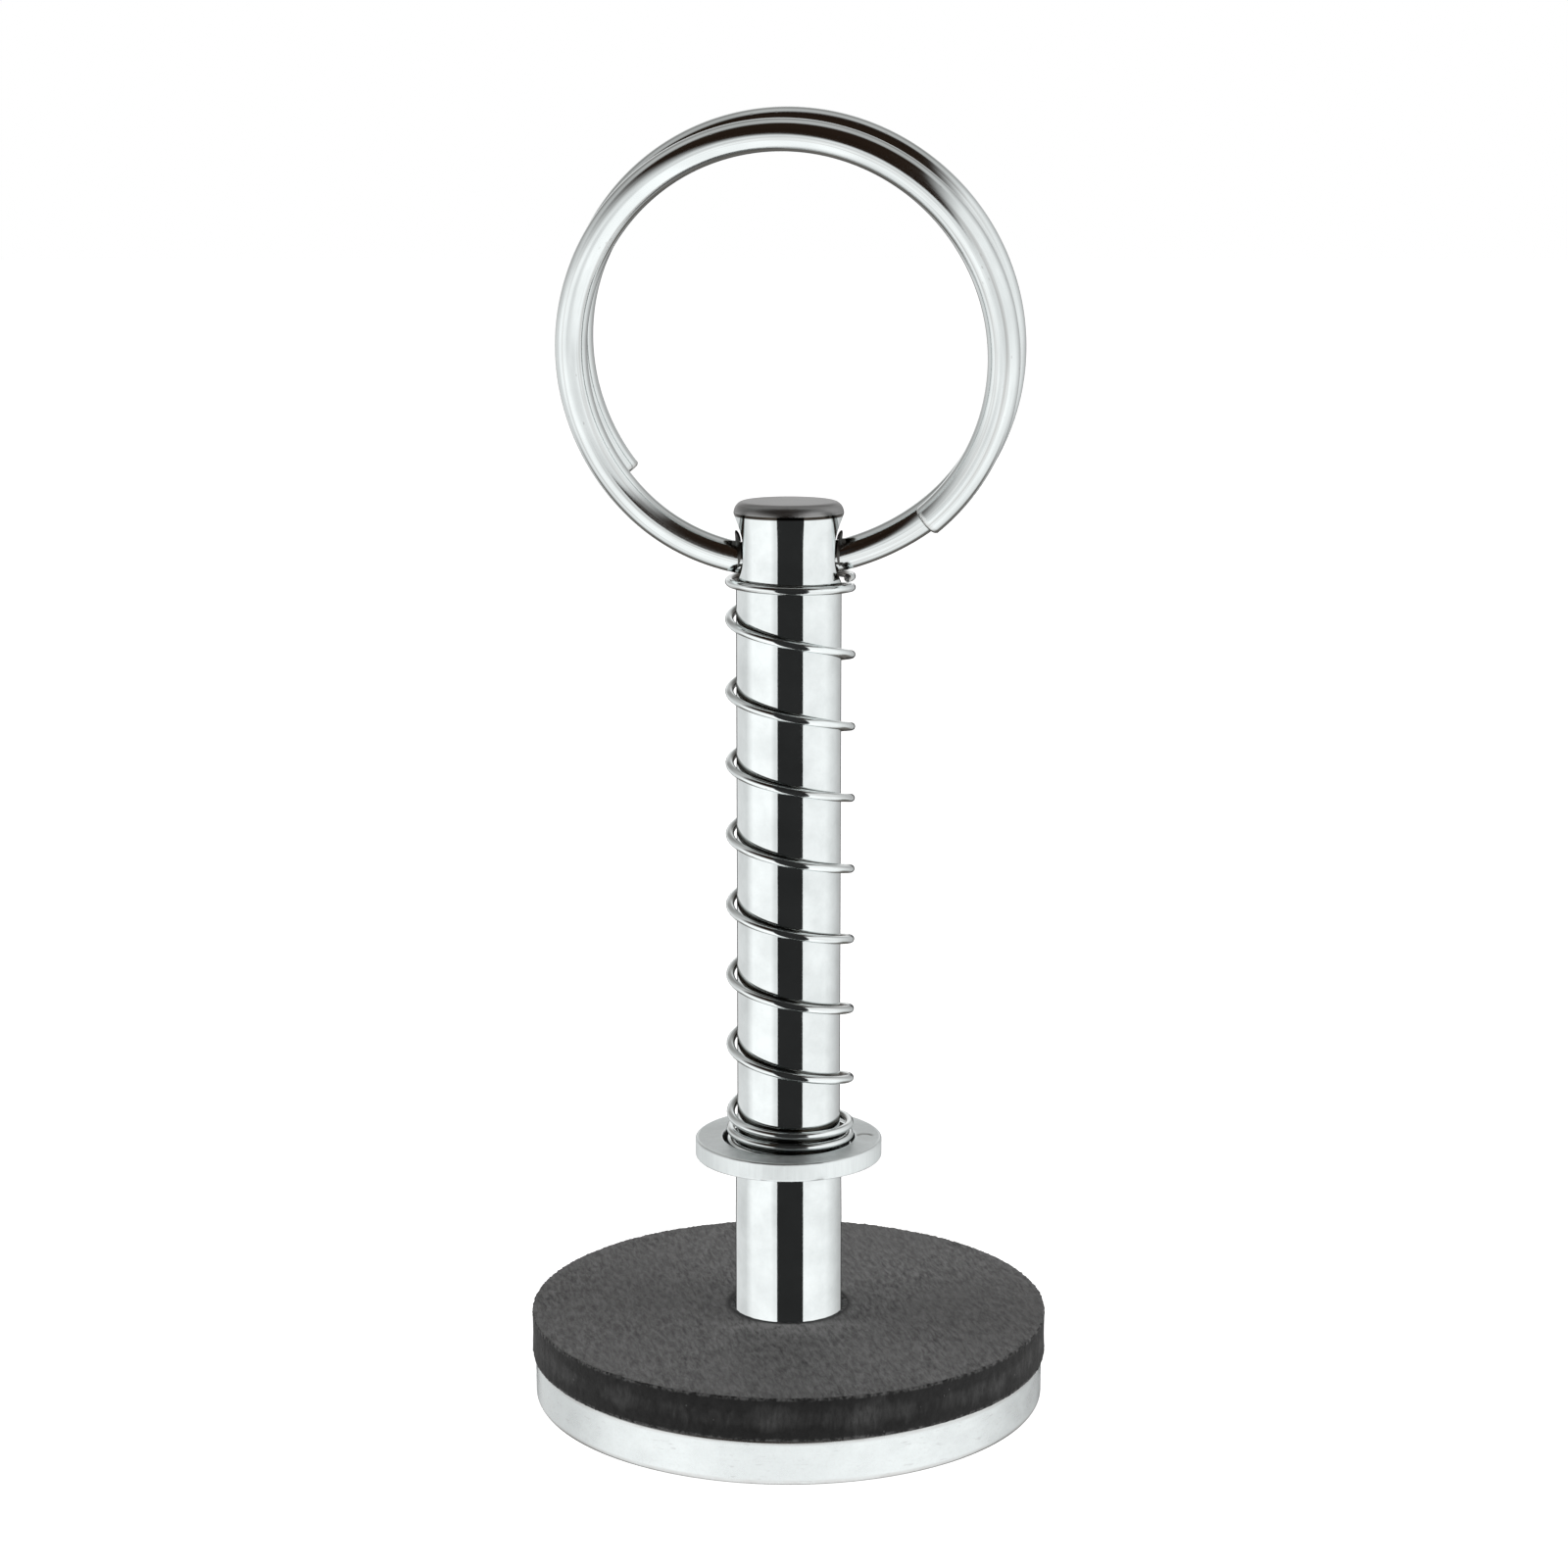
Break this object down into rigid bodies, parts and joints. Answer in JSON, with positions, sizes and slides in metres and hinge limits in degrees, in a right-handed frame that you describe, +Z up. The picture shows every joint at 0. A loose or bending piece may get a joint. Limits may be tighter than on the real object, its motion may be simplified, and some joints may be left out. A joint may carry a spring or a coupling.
{
  "type": "pull ring magnet plunger",
  "caption": "Magnet plunger: slotted chrome rod on a round pot magnet with a rubber bumper disc, a compression spring in a loose recessed seat washer, and a split pull ring through the rod's head.",
  "frame": {"origin": "centre of the magnet's round working face, which the part stands on", "axes": "+Z up along the plunger rod, towards the pull ring. +X along the slot in the rod's head. -Y is the front."},
  "size_m": [0.0506, 0.0506, 0.1242],
  "materials": {
    "ring_steel": "bright nickel plated spring steel wire",
    "rod_chrome": "mirror polished chrome plate",
    "spring_steel": "bright nickel plated spring wire",
    "washer_steel": "stamped and zinc plated, satin",
    "bumper_rubber": "matt black sheet rubber with a fine ground grain, cut edge",
    "cup_plating": "turned steel with a bright satin nickel plate",
    "magnet_nickel": "nickel plated sintered magnet, satin",
    "bush_steel": "turned steel, nickel plated",
    "potting_resin": "black potting resin, slightly glossy",
    "screw_steel": "stainless steel, machined"
  },
  "bodies": {
    "plunger": {"plunger_rod": "rod_chrome", "compression_spring": "spring_steel", "rubber_bumper_disc": "bumper_rubber", "magnet_cup": "cup_plating", "ring_magnet": "magnet_nickel", "pole_bush": "bush_steel", "outer_potting": "potting_resin", "inner_potting": "potting_resin", "retaining_screw": "screw_steel"},
    "spring_seat": {"seat_washer": "washer_steel"},
    "pull_ring": {"split_ring": "ring_steel"}
  },
  "joints": [
    {"name": "washer_slide", "type": "slide", "parent": "plunger", "child": "spring_seat", "axis": [0, 0, 1], "range_m": [0, 0.042], "stiffness_N_per_m": 310, "deforming": ["compression_spring"]},
    {"name": "ring_hinge", "type": "hinge", "parent": "plunger", "child": "pull_ring", "pos_m": [0, 0, 0.08295], "axis": [1, 0, 0], "range_deg": [-98, 82]}
  ]
}
